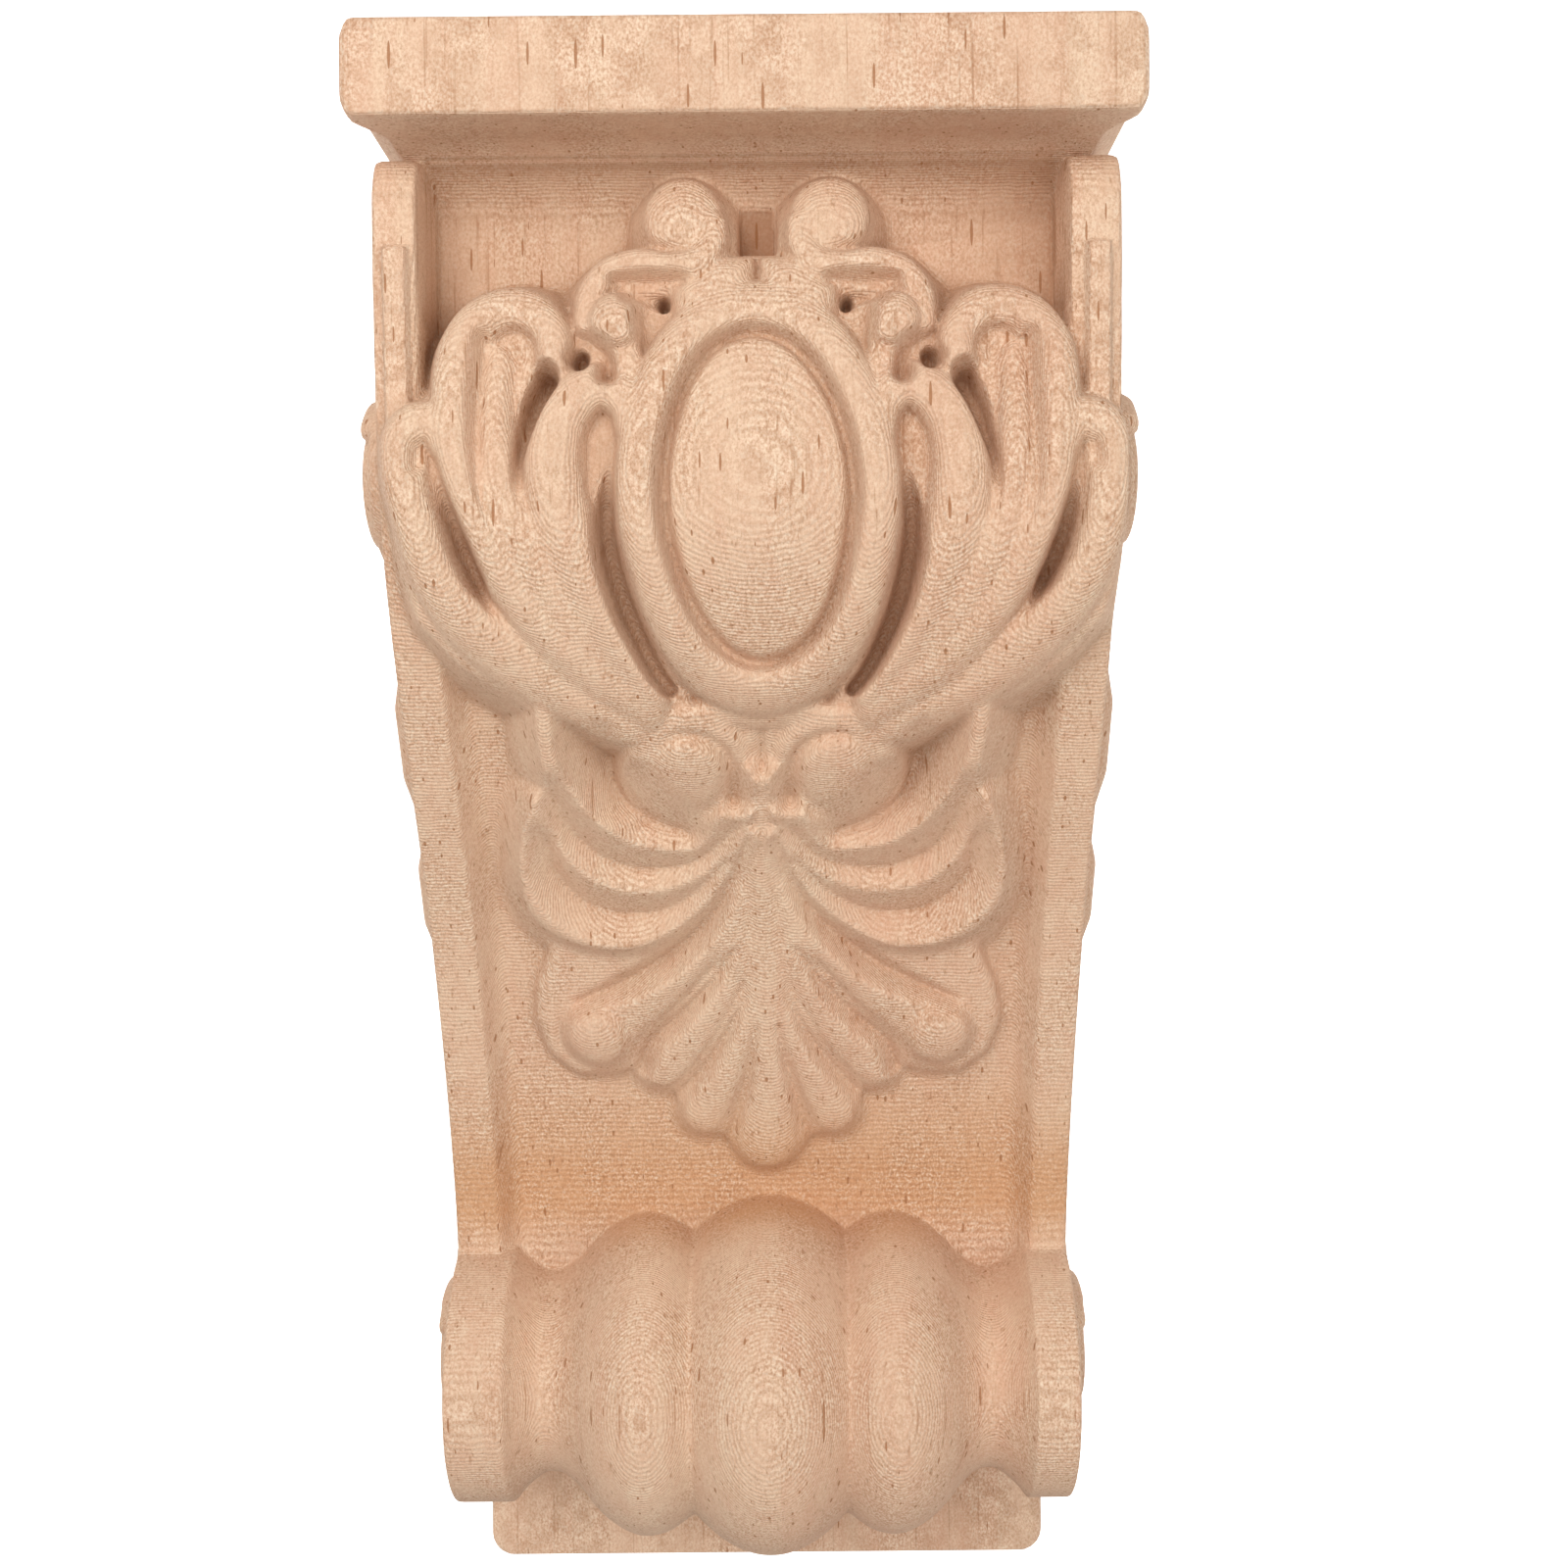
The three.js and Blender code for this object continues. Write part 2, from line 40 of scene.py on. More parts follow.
# Block and cap
HALF_BODY = 41.9
HALF_CAP = 43.6
CAP_HEIGHT = 10.6
CAP_CORNER = 0.8
CAP_WEAR = 0.9
CAP_WEAR_START = 0.5
CAP_SIDE_CUT = 3.7
CAP_SIDE_CUT_RISE = 4.1
CAP_SIDE_CUT_FADE = 9.0
PLATE_THICKNESS = 8.0
PLATE_CORNER = 3.5
EDGE = 0.4

# Cove, neck and shoulders
COVE_REACH = 8.6
COVE_DROP = 7.4
COVE_SIDE_SHARE = 0.26
NECK_DEPTH = 71.4
NECK_HALF = 37.9
NECK_REACH_DOWN = 30.0
SLOT_HALF = 1.95
SLOT_ABOVE = 1.9
SLOT_BELOW = 4.8
SLOT_SINK = 3.2
SHOULDER_DEPTH = 79.9
SHOULDER_DROP = 22.7
SHOULDER_TOP_GAP = 1.3
SHOULDER_TOP_ROUND = 1.2
SHOULDER_SET_BACK = 2.2
FOOT_DEPTH = 33.4
FOOT_RISE = 50.0
TAB_INNER = 37.8
TAB_OUTER = 40.6
TAB_PROUD = 1.3
TAB_HEIGHT = 24.0

# Sunk panel and the carving on it
PANEL_HALF = 36.5
PANEL_OFFSET = 0.5
PANEL_OFFSET_DRIFT = -0.9
PANEL_SINK = 3.0
PANEL_FILLET = 1.2
NECK_FALL_START = 0.55
CARVING_OFFSET = 1.0
RELIEF = 11.2
OVAL_RISE = 49.2
OVAL_RIM = (12.8, 21.3)
OVAL_RIM_HALF = 2.8
OVAL_FACE = (10.3, 18.0)
OVAL_LIFT = 1.14
OVAL_GROOVE_DEPTH = 3.2

# Gadrooned roll. The curve gives a distance from the roll's middle and the radius there, outwards from the
# valley beside the middle lobe.
ROLL_DEPTH = 28.3
ROLL_RISE = 36.0
MIDDLE_LOBE_RADIUS = 25.0
MIDDLE_LOBE_HALF = 10.4
LOBE_VALLEY_RADIUS = 19.6
SIDE_LOBE_CURVE = [(10.4, 19.6), (12.1, 20.8), (14, 21.9), (16.6, 22.45), (19, 22.0), (21.9, 20.4),
                   (24.1, 18.4), (25.9, 16.3), (28, 14.6), (29.7, 14.1), (31.4, 14.4), (33.7, 16.2),
                   (35.2, 18.0)]

# Side faces
FIELD_SINK = 2.5
BAND_WIDTH = 6.0
BACK_STRIP = 8.0
UPPER_VOLUTE = (65.4, 53.7)
UPPER_VOLUTE_RADIUS = 10.0
UPPER_VOLUTE_PROUD = 3.1
LOWER_VOLUTE = (28.3, -61.5)
LOWER_VOLUTE_RADIUS = 10.4
LOWER_VOLUTE_PROUD = 2.3
BEAD_SET_BACK = 2.2
BEAD_DEPTH = 0.5
BEAD_WIDTH = 0.5
STEM_BEHIND_FRONT = 18
LEAVES_BEHIND_FRONT = 9
# Top, bottom, half width and height of each leaf on the side
SIDE_LEAVES = ((36, 12, 4.6, 2.2), (14, -6, 4.2, 2.1), (-2, -22, 3.6, 1.0), (-20, -38, 3, 0.6))

# Mesh
BOARD_STEP = 0.25
GRID_STEP = 0.45
GRID_HALF = 47.5
GRID_MARGIN = 2
ROWS_AT_ONCE = 32
TRIANGLES = 190000
SMOOTHING = 0.7
JOIN = 0.5
FAR = 99.0

# Glued-up blank: where each strip starts across the corbel and its tone, and where each layer starts
STRIP_SPAN = 45
FRONT_STRIPS = [(-45, 0.75), (-40, 0.35), (14.3, 0.85), (34.8, 0.3)]
MIDDLE_STRIPS = [(-45, 0.3), (-12, 0.2), (9.8, 0.8), (35, 0.4)]
BACK_STRIPS = [(-45, 0.55), (-17.6, 0.25), (2.4, 0.9), (35, 0.4)]
MIDDLE_LAYER_START = 52.0
FRONT_LAYER_START = 73.0
CUTTER_LINE_PITCH = 0.24

# Lights, in metres and watts: place, aim, size and power
KEY_LIGHT = ((-0.2, -0.54, 0.19), (0, 0, 0.02), 0.35, 1.8)
FILL_LIGHT = ((0.4, -0.7, -0.12), (0, 0, 0), 0.6, 2.0)
WORLD_LIGHT = 0.48
STAGE_GLOW = 0.9

# Camera, as read from the photograph's perspective
CAMERA_PLACE = (3.6, -274.3, 17.3)
CAMERA_LENS = 40.1
SENSOR_WIDTH = 36
CAMERA_ROLL = math.radians(-0.5)


def smooth_max(first, second, radius):
    """The larger of two fields, rounded where they meet."""
    blend = np.maximum(radius - np.abs(first - second), 0) / radius
    return np.maximum(first, second) + blend * blend * radius / 4


def smooth_min(first, second, radius):
    return -smooth_max(-first, -second, radius)


def smooth_step(value, low, high):
    share = np.clip((value - low) / (high - low), 0, 1)
    return share * share * (3 - 2 * share)


def spline(points, per_span=8):
    """Points along a Catmull-Rom curve through the given points."""
    knots = np.array([points[0], *points, points[-1]], float)
    shares = np.arange(per_span) / per_span
    line = []
    for before, start, end, after in zip(knots, knots[1:], knots[2:], knots[3:]):
        t = shares[:, None]
        bend = (2 * before - 5 * start + 4 * end - after) * t * t
        twist = (3 * start - before - 3 * end + after) * t * t * t
        line.append((2 * start + (end - before) * t + bend + twist) / 2)
    return np.vstack([*line, knots[-1:]])


def smooth_table(pairs):
    """A function that reads a smooth curve through [position, value] pairs."""
    line = spline(pairs)
    return lambda at: np.interp(at, line[:, 0], line[:, 1])


class Board:
    """A drawing board with forms raised from it and grooves cut into it.

    Heights are over the ground, and each form's height is a share of the board's scale there.
    """

    def __init__(self, u_range, z_range, scale):
        self.us = np.arange(*u_range, BOARD_STEP)
        self.zs = np.arange(*z_range, BOARD_STEP)
        self.scale = np.broadcast_to(scale(self.zs)[None, :], (len(self.us), len(self.zs)))
        self.height = np.zeros(self.scale.shape)
        self.ceiling = np.full(self.scale.shape, FAR)

    def window(self, low, high):
        """The slices of the board between two corners."""
        across = slice(*np.searchsorted(self.us, [low[0], high[0]]))
        up = slice(*np.searchsorted(self.zs, [low[1], high[1]]))
        return across, up

    def measure(self, drawn, reach):
        """Distance from a drawn line, and the share of its length, over the part of the board near it."""
        line = spline(drawn)
        place = self.window(line.min(0) - reach, line.max(0) + reach)
        u = self.us[place[0], None]
        z = self.zs[None, place[1]]
        steps = np.hypot(*np.diff(line, axis=0).T)
        starts = np.concatenate([[0], np.cumsum(steps)])
        distance = np.full((u.size, z.size), FAR)
        share = np.zeros_like(distance)
        for start, end, begun, step in zip(line, line[1:], starts, steps):
            if step == 0:
                continue
            run = end - start
            t = np.clip(((u - start[0]) * run[0] + (z - start[1]) * run[1]) / step ** 2, 0, 1)
            here = np.hypot(u - start[0] - t * run[0], z - start[1] - t * run[1])
            closer = here < distance
            distance = np.where(closer, here, distance)
            share = np.where(closer, (begun + t * step) / starts[-1], share)
        return place, distance, share

    def raise_to(self, place, height, radius=SMOOTHING):
        self.height[place] = smooth_max(self.height[place], height, radius)

    def cut_to(self, place, height, radius=SMOOTHING):
        self.ceiling[place] = smooth_min(self.ceiling[place], height, radius)

    def ridge(self, drawn, half_widths, lift=1.0, crown=0.8, draft=2.6):
        """A rounded ridge along a line. Draft is how steeply its sides fall."""
        place, distance, share = self.measure(drawn, max(half_widths) + 4)
        half = along(half_widths, share)
        inside = np.clip(distance / half, 0, 1)
        dome = crown * half * (1 - np.sqrt(1 - inside ** 2))
        top = self.scale[place] * along(lift, share)
        self.raise_to(place, top - dome - draft * np.maximum(distance - half, 0))

    def groove(self, drawn, half_widths, floor, draft=2.4):
        """A round-bottomed groove along a line, its floor a share of the scale."""
        place, distance, share = self.measure(drawn, max(half_widths) + 4)
        half = along(half_widths, share)
        inside = np.clip(distance / half, 0, 1)
        bowl = half * (1 - np.sqrt(1 - inside ** 2))
        bottom = self.scale[place] * along(floor, share)
        self.cut_to(place, bottom + bowl + draft * np.maximum(distance - half, 0))

    def boss(self, middle, radii, lift=1.0, crown=1.5, draft=2.6):
        """A domed boss, round or oval."""
        reach = max(radii) + 4
        place = self.window(np.array(middle) - reach, np.array(middle) + reach)
        u = self.us[place[0], None] - middle[0]
        z = self.zs[None, place[1]] - middle[1]
        outward = oval_distance(u, z, *radii)
        inside = np.clip(np.hypot(u / radii[0], z / radii[1]), 0, 1)
        dome = crown * (1 - np.sqrt(1 - inside ** 2))
        self.raise_to(place, self.scale[place] * lift - dome - draft * np.maximum(outward, 0))

    def mass(self, outline, lift, draft=2.2, round_off=1.2):
        """A slab with a rounded edge inside an outline."""
        outline = np.array(outline, float)
        place = self.window(outline.min(0) - 4, outline.max(0) + 4)
        u = self.us[place[0], None]
        z = self.zs[None, place[1]]
        distance = np.full((u.size, z.size), FAR)
        inside = np.zeros(distance.shape, bool)
        for start, end in zip(outline, np.roll(outline, -1, axis=0)):
            run = end - start
            t = np.clip(((u - start[0]) * run[0] + (z - start[1]) * run[1]) / (run @ run), 0, 1)
            distance = np.minimum(distance, np.hypot(u - start[0] - t * run[0], z - start[1] - t * run[1]))
            crosses = (start[1] > z) != (end[1] > z)
            rise = run[1] if run[1] else 1
            inside ^= crosses & (u < start[0] + (z - start[1]) * run[0] / rise)
        edge = np.where(inside, distance, -distance)
        near_edge = np.clip(1 - edge / round_off, 0, 1)
        dome = round_off * (1 - np.sqrt(1 - near_edge ** 2))
        top = self.scale[place] * lift - dome
        self.raise_to(place, top - draft * np.maximum(-edge, 0))


def along(values, share):
    """Values spread evenly along a line, read at a share of its length."""
    values = np.atleast_1d(values)
    return np.interp(share, np.linspace(0, 1, len(values)), values)


def oval_distance(u, z, half_across, half_up):
    """Distance outside an oval, negative inside it."""
    size = np.hypot(u / half_across, z / half_up)
    slope = np.hypot(u / half_across ** 2, z / half_up ** 2)
    return size * (size - 1) / np.maximum(slope, 1e-6)


def arc(middle, start, end, first, last, count=12):
    """Points along an arc whose radius runs from first to last. Angles are in half turns."""
    angles = np.linspace(start, end, count) * math.pi
    radii = np.linspace(first, last, count)
    return [(middle[0] + r * math.cos(a), middle[1] + r * math.sin(a)) for a, r in zip(angles, radii)]


def relief_scale(z):
    share = smooth_table([(-0.18, 0.28), (-0.05, 0.38), (0.05, 0.5), (0.13, 0.78), (0.22, 1), (0.31, 1),
                          (0.36, 0.85), (0.42, 0.6)])
    return RELIEF * share(z / height)


def draw_crest(board):
    """Two small scrolls at the top, with stems that curl down to a knob beside the oval."""
    board.mass([(4, 76), (10, 76.6), (16.5, 76.6), (20, 73), (20.4, 66), (16.8, 61), (12, 60.5), (8, 70),
                (4, 73)], 0.8)
    board.mass([(0, 66), (9, 68.5), (9.4, 72.6), (5.4, 76.6), (0, 76.6)], 1.1, draft=1.6, round_off=3.4)
    board.boss((8.3, 81.1), (4.6, 4.7), 1.16, crown=2.4)
    board.ridge([(4.9, 80), (5, 77.8), (6.6, 75.6), (9.6, 75), (13, 75.5), (16.2, 74.6), (18.2, 72),
                 (18.6, 68.6)],
                [1.5, 1.6, 1.6, 1.6, 1.5, 1.3], [1.12, 1.14, 1.12, 1.08, 1.02], crown=0.7, draft=3.2)
    board.boss((15.2, 68.7), (2.9, 3.0), 1.2, crown=1.5, draft=3.2)
    board.ridge([(14.8, 67.5), (14.3, 64.8), (13.4, 62.2)], [2.0, 1.3], 1.0, crown=0.5)
    board.groove([(12.8, 78.2), (10.4, 77.2), (7.8, 77.2)], [0.25, 0.3, 0.2], [0.84, 0.9, 1.02], draft=2.2)
    board.groove([(15.6, 73.4), (12, 73.4), (8.2, 73.4)], [0.25, 0.4, 0.25], [0.84, 0.78, 0.86], draft=2.4)
    board.groove([(13.4, 72), (10.8, 71.4)], [0.4, 0.7], [0.76, 0.66], draft=2.2)
    board.groove([(10.2, 71.3), (10.1, 70.8)], [0.45, 0.45], 0.42, draft=8)
    board.groove([(18.6, 66.4), (16.6, 64.7), (16.4, 62.6)], [0.3, 0.3], [0.8, 0.72], draft=2.6)
    board.groove([(12, 70), (11.9, 66.6)], [0.3, 0.3], 0.8, draft=2.4)


def draw_oval(board):
    """The oval in the middle, with a broad round rim and a narrow groove inside it."""
    u = board.us[:, None]
    z = board.zs[None, :] - OVAL_RISE
    rim = oval_distance(u, z, *OVAL_RIM)
    inner = oval_distance(u, z, *OVAL_FACE)
    whole = (slice(None), slice(None))
    crest = board.scale * OVAL_LIFT
    rim_crown = 2.1
    rim_draft = 4
    face_crown = 1.6
    face_draft = 3
    groove_half = 0.2
    groove_draft = 2.6
    crisp = 0.3
    inside = np.clip(np.abs(rim) / OVAL_RIM_HALF, 0, 1)
    dome = rim_crown * (1 - np.sqrt(1 - inside ** 2))
    board.raise_to(whole, crest - dome - rim_draft * np.maximum(np.abs(rim) - OVAL_RIM_HALF, 0))
    size = np.clip(np.hypot(u / OVAL_FACE[0], z / OVAL_FACE[1]), 0, 1)
    board.raise_to(whole, crest - face_crown * size ** 2 - face_draft * np.maximum(inner, 0), crisp)
    beside_groove = groove_draft * np.maximum(np.abs(inner) - groove_half, 0)
    board.cut_to(whole, crest - OVAL_GROOVE_DEPTH + beside_groove, crisp)


def draw_plumes(board):
    """Three plumes on each side that hook over at the top and gather below the oval."""
    board.mass([(20.8, 62), (20.6, 68), (23.5, 72), (28.5, 72.2), (33, 69), (35.4, 63), (38.4, 58.6),
                (41, 54), (40.8, 44), (39.2, 36), (34.6, 30.8), (26.6, 25.6), (8, 22), (8, 27), (12.4, 34),
                (14.6, 42), (15.2, 49), (14.4, 58), (17.6, 62.4)], 0.8)
    plume = dict(crown=0.8, draft=3.2)
    board.ridge([(33.7, 54.2), (35.2, 57.2), (37.4, 57.5), (39, 55.4), (39, 51), (38, 46), (36.5, 41),
                 (33.7, 36.2), (29.8, 32.2), (24.2, 28.2), (15, 23.6)],
                [1.8, 2.4, 2.5, 2.5, 2.7, 3.0, 3.0, 2.7, 2.4, 2.0], [1, 1.02, 1.02, 1, 1], **plume)
    board.ridge([(22.6, 63.4), (22.4, 67.2), (24.6, 70), (27.6, 70.5), (30.7, 69), (32.8, 65.4),
                 (33.3, 60.5), (33, 55), (31.9, 49.5), (30.2, 44), (27.6, 38.8), (23.6, 33.6), (18.6, 29.2),
                 (13, 25.4)],
                [1.7, 2.4, 2.5, 2.5, 2.4, 2.3, 2.2, 2.4, 2.4, 2.0], 1.06, **plume)
    board.ridge([(28.4, 65.2), (28.8, 60.8), (28.7, 55.4), (28.0, 50), (26.3, 43.6), (22.6, 36.8),
                 (17.2, 30), (12.4, 26)],
                [1.5, 1.8, 2.0, 2.3, 2.5, 2.2, 1.8], [0.86, 0.98, 1.04, 1.04, 1.02], **plume)
    board.ridge([(13.6, 56.4), (14.1, 59.3), (16.6, 61.4), (19.6, 60.4), (21.8, 57), (22.4, 52), (21.8, 46),
                 (20, 40.2), (17, 34.2), (12.4, 27.6)],
                [1.8, 2.4, 2.8, 3.1, 3.5, 3.7, 3.5, 3.0, 2.5, 1.9], 1.08, **plume)
    board.mass([(21.6, 54), (26, 47.5), (31.4, 50), (30, 42), (24.4, 34.6), (14, 27), (12.2, 29),
                (17.6, 36), (20.6, 44)], 1.0, round_off=2.6)
    board.mass([(38.4, 48), (37, 40), (33.4, 34), (26.2, 28.6), (15, 24), (13.4, 26.4), (23.6, 33),
                (29.4, 37), (33.4, 42)], 0.97, round_off=2.6)
    channel = dict(draft=5)
    board.groove([(16.2, 53.6), (16.7, 50.2), (17.1, 46.4), (16.8, 42.4), (15.6, 37.8), (13.8, 33.8),
                  (12, 30.4), (10.4, 28.3)],
                 [0.4, 0.75, 0.85, 0.8, 0.65, 0.5], [0.84, 0.58, 0.48, 0.46, 0.46, 0.5], **channel)
    board.groove([(23.4, 62.4), (24.9, 59.4), (25.8, 55.9), (26.4, 52), (26.6, 47.8)],
                 [0.8, 0.65, 0.4, 0.3, 0.2], [0.4, 0.48, 0.62, 0.8, 1.0], **channel)
    board.groove([(35.4, 51.6), (34.8, 48.2), (33.6, 44), (32.1, 40.4), (30, 36.6)],
                 [0.4, 0.6, 0.65, 0.5, 0.3], [0.82, 0.62, 0.5, 0.5, 0.88], **channel)
    board.groove([(30, 66.8), (30.6, 61), (30.8, 55.4), (30.6, 50), (29.6, 46)], [0.25, 0.25, 0.2],
                 [0.8, 0.86, 1.0], draft=2.0)
    board.groove([(28, 66.6), (26.6, 65.6), (26, 63)], [0.9, 1.0, 0.5], [0.8, 0.74, 0.8], draft=1.2)
    board.groove([(37.2, 54.6), (37.4, 52.6)], [0.5, 0.4], 0.86, draft=1.4)
    board.groove([(19.4, 64.9), (19.6, 64.4)], [0.6, 0.6], 0.5, draft=5)


def draw_scrolls(board):
    """A scroll on each side of the middle below the oval, its stem running into the palmette."""
    board.mass([(0, 25.6), (8, 26.6), (14.6, 25.4), (16.4, 20), (14, 14), (8, 12.2), (0, 14)], 0.8)
    board.boss((8.8, 19.4), (7.4, 6.8), 1.02, crown=1.6)
    board.boss((8.5, 18.6), (4.5, 4.3), 1.16, crown=1.8, draft=1.6)
    board.groove([(12.4, 21.6), (10.8, 22.8), (8.2, 23.2), (5.2, 22), (3.4, 19.4), (3.4, 15.8)],
                 [0.2, 0.25, 0.3, 0.35, 0.35, 0.3], [1.0, 0.9, 0.86, 0.82, 0.76, 0.66], draft=1.4)
    board.ridge([(9.5, 25), (4.5, 25.4), (0, 25.2)], [1.6, 1.4], 0.9)
    board.groove([(0, 23.4), (0, 19.6)], [0.3, 0.3], 0.78, draft=1.6)


def draw_palmette(board):
    """Curved leaves above and straight lobes below, spreading from the middle line."""
    board.mass([(0, 16), (9, 12), (17, 13.2), (22, 17), (24, 22), (24.4, 28), (27.6, 28), (26.8, 16),
                (30, 11), (30.6, 5.5), (28.6, -0.4), (28, -4), (30.2, -9), (30.9, -13.5), (29.4, -18.4),
                (25.6, -21.6), (20.6, -21.4), (17.2, -20.4), (15, -22.4), (12.8, -24), (12.2, -27),
                (10.6, -29.6), (8, -30.3), (5.7, -30.6), (4.8, -32.6), (3, -34.9), (0, -35.5)],
               0.66, round_off=2.0)
    leaf = dict(crown=0.7, draft=1.5)
    board.ridge([(1.5, 17.3), (4.6, 12.6), (8.6, 9.9), (14.4, 9.2), (19.6, 11), (22.8, 14.2), (24.7, 18),
                 (25.5, 22.4), (25.4, 26.6)],
                [1.0, 1.3, 1.6, 1.7, 1.6, 1.4, 1.1, 1.1], [1.3, 1.24, 1.16, 1.12, 1.1, 1.05, 0.9], **leaf)
    board.ridge([(2, 13.8), (6, 8), (11, 4.8), (16, 3.6), (20.8, 4.7), (23.8, 7.6), (25.2, 11.6),
                 (25.9, 15.2)],
                [1.0, 1.4, 1.6, 1.7, 1.6, 1.3], [1.3, 1.25, 1.15, 1.1, 1.02], **leaf)
    board.ridge([(1.6, 10.6), (6, 4.8), (11.2, 0.6), (17.4, -1.8), (23.6, -1.2), (27.6, 1.6), (28.7, 6),
                 (27.8, 11.2), (26.6, 14.6)],
                [1.0, 1.4, 1.8, 1.9, 1.8, 1.5], [1.4, 1.4, 1.3, 1.16, 1.02], **leaf)
    scoop = dict(draft=0.9)
    board.groove([(3.4, 11.9), (7, 8.4), (11, 7.0), (16, 6.9), (20.4, 8.7), (23.4, 12), (25, 16)],
                 [0.3, 0.3, 0.35, 0.3, 0.25], [0.95, 0.68, 0.46, 0.4, 0.46, 0.66], **scoop)
    board.groove([(4.4, 7.6), (8.2, 3.9), (13.2, 1.3), (18.6, 1.0), (23.2, 2.9), (25.9, 6.4), (26.5, 10.4)],
                 [0.3, 0.3, 0.35, 0.3, 0.25], [0.95, 0.66, 0.42, 0.36, 0.42, 0.6], **scoop)
    board.groove([(19, 22.6), (17.6, 18), (14.4, 13.4), (9.4, 11.5)], [0.6, 0.9, 0.9, 0.5],
                 [0.7, 0.34, 0.3, 0.5], draft=1)
    board.mass([(0, 15), (1.4, 12), (3.4, 6.2), (6.6, 1.6), (10.4, -2.4), (7.4, -6.4), (3.8, -9.6),
                (0, -12)], 1.2, draft=1.4, round_off=3.6)
    lobe = dict(crown=0.42, draft=1.4)
    board.ridge([(5, 1.4), (9.4, -4.4), (14.8, -9.4), (20.2, -13.4)], [2.0, 2.6, 3.4, 4.2],
                [1.16, 1.2, 1.18, 1.1], **lobe)
    board.boss((22.4, -15.7), (4.0, 3.8), 1.5, crown=1.8, draft=1.4)
    board.groove([(22.6, -10.7), (25.4, -11.4), (27.3, -13.6), (27.6, -16.6), (26.2, -19), (23.4, -20.5)],
                 [0.25, 0.3, 0.25], [0.9, 0.66, 0.6, 0.6, 0.7], draft=1.6)
    board.ridge([(2.4, -3.6), (7, -11.2), (11, -16.8), (14.2, -20.2)], [1.4, 2.2, 2.6, 2.7],
                [1.1, 1.2, 1.18, 1.02], **lobe)
    board.ridge([(1.6, -9), (4.8, -17.6), (7.4, -24.2), (8.6, -26.8)], [1.2, 1.9, 2.6, 2.9],
                [1.1, 1.22, 1.2, 1.02], **lobe)
    board.ridge([(0, 16), (0, 4), (0, -10), (0, -24), (0, -31)], [0.9, 1.6, 2.4, 3.4, 4.0],
                [1.1, 1.2, 1.24, 1.26, 1.05], **lobe)
    cuts = dict(draft=1.4)
    board.groove([(1.7, 10.4), (4, 4.8), (7.2, 0.2), (12, -4.2), (17.9, -7.9), (24.5, -10.8)],
                 [0.2, 0.3, 0.3, 0.3, 0.2], [1.1, 0.8, 0.5, 0.26, 0.26, 0.5], **cuts)
    board.groove([(3.9, -3.8), (7.8, -9.1), (11.8, -13.3), (15.6, -16.6), (17.3, -20.6)], [0.2, 0.25, 0.3],
                 [1.05, 0.76, 0.52, 0.36, 0.2], **cuts)
    board.groove([(2.5, -10), (5.4, -15.5), (8.8, -20.3), (12.6, -24.6)], [0.2, 0.25, 0.3],
                 [1.05, 0.76, 0.54, 0.3], **cuts)
    board.groove([(1.4, -14.5), (2.5, -19.6), (3.8, -25.3), (5.5, -30.8)], [0.2, 0.25, 0.3],
                 [1.1, 0.82, 0.6, 0.3], **cuts)


def front_board():
    board = Board((0, HALF_BODY + 4), (-38, 90), relief_scale)
    draw_palmette(board)
    draw_plumes(board)
    draw_crest(board)
    draw_oval(board)
    draw_scrolls(board)
    return board


def read_board(board, values, u, z, outside):
    """Values of a board at other points, by bilinear reading."""
    at_u = np.clip((u - board.us[0]) / BOARD_STEP, 0, len(board.us) - 1.001)
    at_z = (z - board.zs[0]) / BOARD_STEP
    off = (at_z < 0) | (at_z > len(board.zs) - 1.001)
    at_z = np.clip(at_z, 0, len(board.zs) - 1.001)
    i = at_u.astype(int)
    j = at_z.astype(int)
    s = at_u - i
    t = at_z - j
    low = values[i, j] * (1 - s) + values[i + 1, j] * s
    high = values[i, j + 1] * (1 - s) + values[i + 1, j + 1] * s
    return np.where(off, outside, low * (1 - t) + high * t)


curve_share = smooth_table([(0, 0), (0.1, 0.06), (0.25, 0.21), (0.4, 0.4), (0.54, 0.63), (0.68, 0.845),
                            (0.8, 0.955), (1, 1)])


def curve_position(z):
    return np.clip((z - foot) / (shoulder - foot), 0, 1)


def wall_depth(z):
    """Depth of the front edge of the side walls, an S curve rounded over at the top."""
    depth = FOOT_DEPTH + (SHOULDER_DEPTH - FOOT_DEPTH) * curve_share(curve_position(z))
    over = np.clip((z - neck_top) / (shoulder_top - neck_top), 0, 1)
    return depth - SHOULDER_SET_BACK * over ** 2


def panel_fall(z):
    """How far the panel has fallen back towards the neck, from 0 to 1."""
    return smooth_step(curve_position(z), NECK_FALL_START, 1)


def ground_depth(z):
    sink = PANEL_SINK + (SHOULDER_DEPTH - NECK_DEPTH - PANEL_SINK) * panel_fall(z)
    return FOOT_DEPTH + (SHOULDER_DEPTH - FOOT_DEPTH) * curve_share(curve_position(z)) - sink


